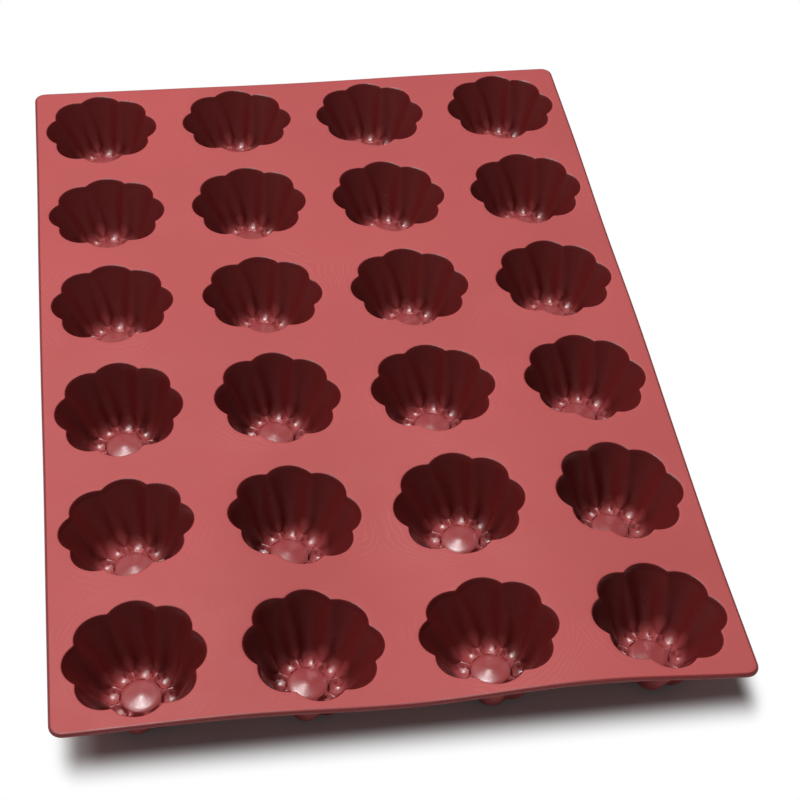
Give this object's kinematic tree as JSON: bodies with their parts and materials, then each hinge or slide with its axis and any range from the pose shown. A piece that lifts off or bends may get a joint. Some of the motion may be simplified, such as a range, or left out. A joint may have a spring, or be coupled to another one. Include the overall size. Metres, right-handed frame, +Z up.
{
  "type": "silicone baking mould",
  "caption": "Flat flexible silicone sheet with a grid of deep fluted cups hanging under it, each with a low domed boss in its floor, for baking small ring-topped cakes.",
  "frame": {"origin": "centre of the rectangle that the cups stand on, at the level of their feet", "axes": "+X across the short side of the sheet, +Y along its long side, +Z up out of the cups' mouths"},
  "size_m": [0.4, 0.6, 0.04],
  "materials": {
    "silicone": "satin"
  },
  "bodies": {
    "root": {"deck": "silicone", "cup_r1_c1": "silicone", "cup_r1_c2": "silicone", "cup_r1_c3": "silicone", "cup_r1_c4": "silicone", "cup_r2_c1": "silicone", "cup_r2_c2": "silicone", "cup_r2_c3": "silicone", "cup_r2_c4": "silicone", "cup_r3_c1": "silicone", "cup_r3_c2": "silicone", "cup_r3_c3": "silicone", "cup_r3_c4": "silicone", "cup_r4_c1": "silicone", "cup_r4_c2": "silicone", "cup_r4_c3": "silicone", "cup_r4_c4": "silicone", "cup_r5_c1": "silicone", "cup_r5_c2": "silicone", "cup_r5_c3": "silicone", "cup_r5_c4": "silicone", "cup_r6_c1": "silicone", "cup_r6_c2": "silicone", "cup_r6_c3": "silicone", "cup_r6_c4": "silicone"}
  },
  "joints": []
}
